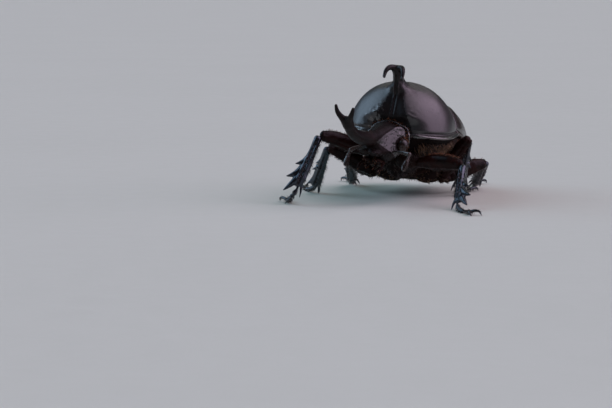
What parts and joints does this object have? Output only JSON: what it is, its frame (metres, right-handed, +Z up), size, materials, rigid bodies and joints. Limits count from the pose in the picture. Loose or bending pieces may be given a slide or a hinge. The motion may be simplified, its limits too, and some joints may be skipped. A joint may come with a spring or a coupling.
{
  "type": "rhinoceros beetle",
  "caption": "Life-size still model of a male rhinoceros beetle, with a long forked head horn, an anchor-tipped thorax horn, glossy black shell plates and spined legs set on the floor.",
  "frame": {"origin": "on the floor under the feet, at the centre of the model's box seen from above", "axes": "+Z up; the hind body's head end points to -Y, with the fore body turned a little to -X; the beetle's left side is +X"},
  "size_m": [0.038, 0.061, 0.0253],
  "materials": {
    "shell_black": "polished black chitin with a faint mauve and blue-grey sheen, fine punctures, raised glossy margin",
    "horn_black": "black chitin, satin with fine grain, polished at the tips",
    "wing_case_brown": "polished very dark red-brown chitin with fine punctures",
    "limb_black": "glossy black to dark brown chitin, ridged shins with pits, tan bristles",
    "belly_brown": "dark red-brown chitin plates with coarse punctures and orange-tan hair",
    "eye_black": "smooth glossy black faceted eye",
    "feeler_brown": "dark reddish-brown chitin, satin, with short bristles"
  },
  "bodies": {
    "root": {"pronotum": "shell_black", "thoracic_horn": "horn_black", "head": "horn_black", "cephalic_horn": "horn_black", "eye_left": "eye_black", "eye_right": "eye_black", "antenna_left": "feeler_brown", "antenna_right": "feeler_brown", "mouthparts": "feeler_brown", "elytron_left": "wing_case_brown", "elytron_right": "wing_case_brown", "scutellum": "wing_case_brown", "metathorax": "belly_brown", "abdomen": "belly_brown", "pygidium": "belly_brown", "coxa_fore_left": "limb_black", "coxa_fore_right": "limb_black", "coxa_mid_left": "limb_black", "coxa_mid_right": "limb_black", "coxa_hind_left": "limb_black", "coxa_hind_right": "limb_black", "femur_fore_left": "limb_black", "femur_fore_right": "limb_black", "femur_mid_left": "limb_black", "femur_mid_right": "limb_black", "femur_hind_left": "limb_black", "femur_hind_right": "limb_black", "tibia_fore_left": "limb_black", "tibia_fore_right": "limb_black", "tibia_mid_left": "limb_black", "tibia_mid_right": "limb_black", "tibia_hind_left": "limb_black", "tibia_hind_right": "limb_black", "tarsus_fore_left": "limb_black", "tarsus_fore_right": "limb_black", "tarsus_mid_left": "limb_black", "tarsus_mid_right": "limb_black", "tarsus_hind_left": "limb_black", "tarsus_hind_right": "limb_black"}
  },
  "joints": []
}
